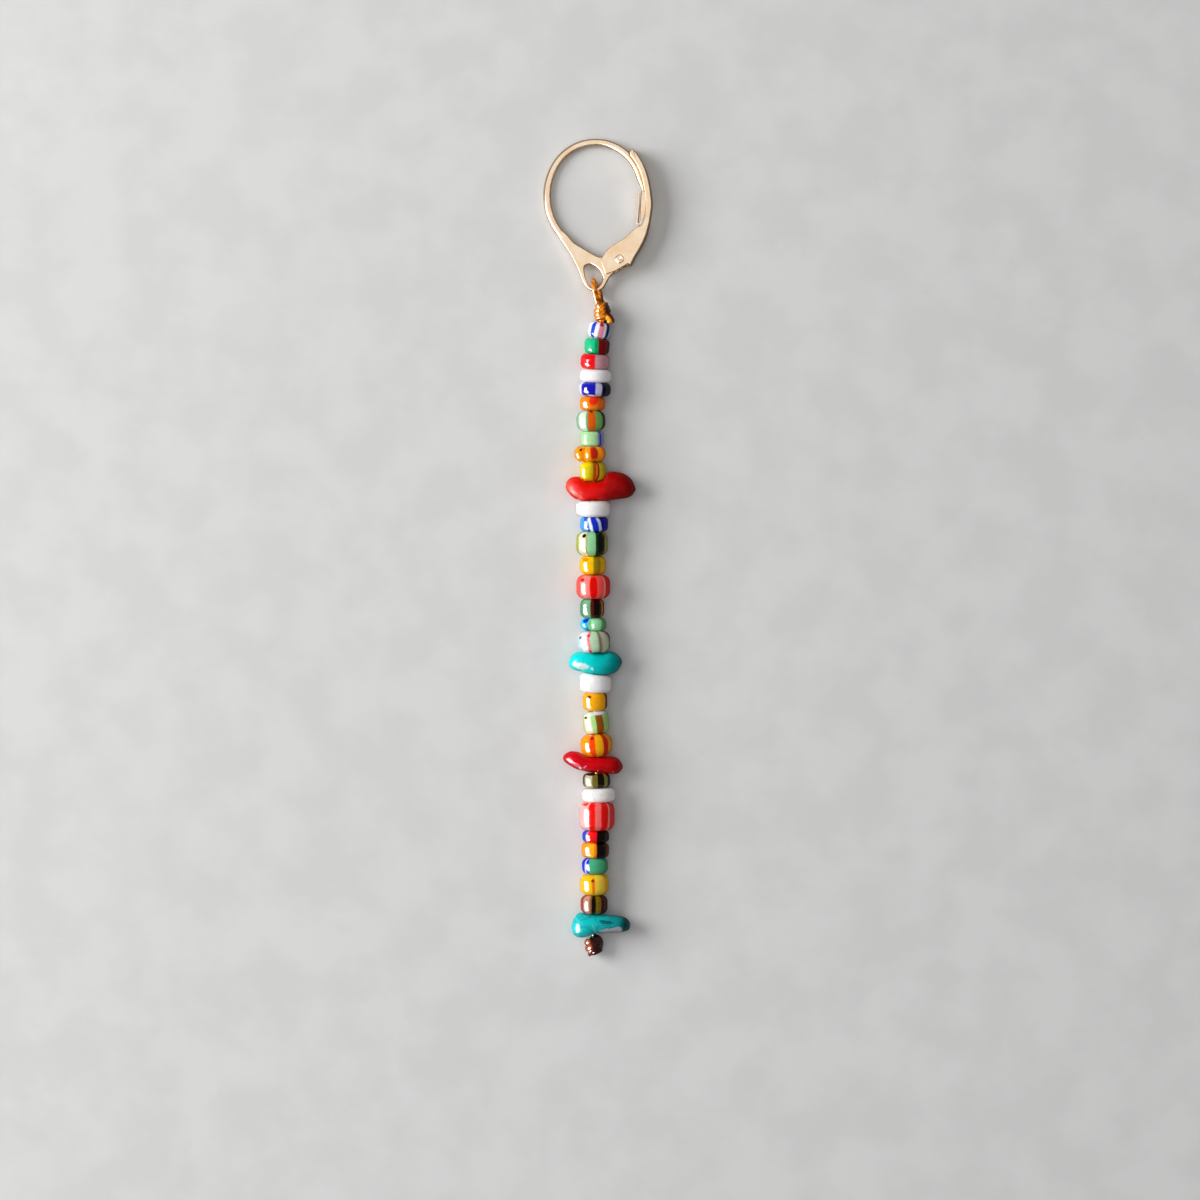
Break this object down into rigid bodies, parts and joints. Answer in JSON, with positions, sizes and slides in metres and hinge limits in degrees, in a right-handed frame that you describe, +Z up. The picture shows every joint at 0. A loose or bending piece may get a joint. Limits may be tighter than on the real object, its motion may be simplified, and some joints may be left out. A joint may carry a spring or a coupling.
{
  "type": "beaded drop earring",
  "caption": "Beaded drop earring lying flat: a sprung lever-back ear hook with a corded string of striped glass beads and stone chips.",
  "frame": {"origin": "bottom centre of the earring's box, on the surface that it lies on", "axes": "+Y along the string from the end knot to the ear hook, +Z up from the surface, +X towards the side of the hook that its lever is on"},
  "size_m": [0.011, 0.0817, 0.0035],
  "materials": {
    "gold_filled_metal": "polished",
    "amber_waxed_cord": "satin",
    "brown_waxed_cord": "satin",
    "coral": "gloss",
    "turquoise": "gloss",
    "white_glass": "gloss",
    "cream_striped_glass": "gloss",
    "green_glass": "gloss",
    "pale_green_glass": "gloss",
    "red_glass": "gloss",
    "blue_glass": "gloss",
    "orange_glass": "gloss",
    "yellow_glass": "gloss",
    "dark_striped_glass": "gloss"
  },
  "bodies": {
    "hook": {"hook_frame": "gold_filled_metal", "cord_loop": "amber_waxed_cord", "top_knot": "amber_waxed_cord", "thread": "amber_waxed_cord", "end_knot": "brown_waxed_cord", "bead_01": "white_glass", "bead_02": "green_glass", "bead_03": "red_glass", "bead_04": "white_glass", "bead_05": "blue_glass", "bead_06": "orange_glass", "bead_07": "pale_green_glass", "bead_08": "pale_green_glass", "bead_09": "orange_glass", "bead_10": "yellow_glass", "coral_chip_11": "coral", "bead_12": "white_glass", "bead_13": "blue_glass", "bead_14": "pale_green_glass", "bead_15": "yellow_glass", "bead_16": "red_glass", "bead_17": "green_glass", "bead_18": "pale_green_glass", "bead_19": "cream_striped_glass", "turquoise_chip_20": "turquoise", "bead_21": "white_glass", "bead_22": "yellow_glass", "bead_23": "cream_striped_glass", "bead_24": "orange_glass", "coral_chip_25": "coral", "bead_26": "dark_striped_glass", "bead_27": "white_glass", "bead_28": "red_glass", "bead_29": "dark_striped_glass", "bead_30": "yellow_glass", "bead_31": "green_glass", "bead_32": "yellow_glass", "bead_33": "dark_striped_glass", "turquoise_chip_34": "turquoise"},
    "lever": {"lever": "gold_filled_metal", "lever_spring": "gold_filled_metal", "rivet": "gold_filled_metal"}
  },
  "joints": [
    {"name": "lever_hinge", "type": "hinge", "parent": "hook", "child": "lever", "pos_m": [0.00222, 0.02881, 0.00111], "axis": [0.0802, -0.0216, -0.9965], "range_deg": [0, 60], "stiffness_Nm_per_rad": 0.003}
  ]
}
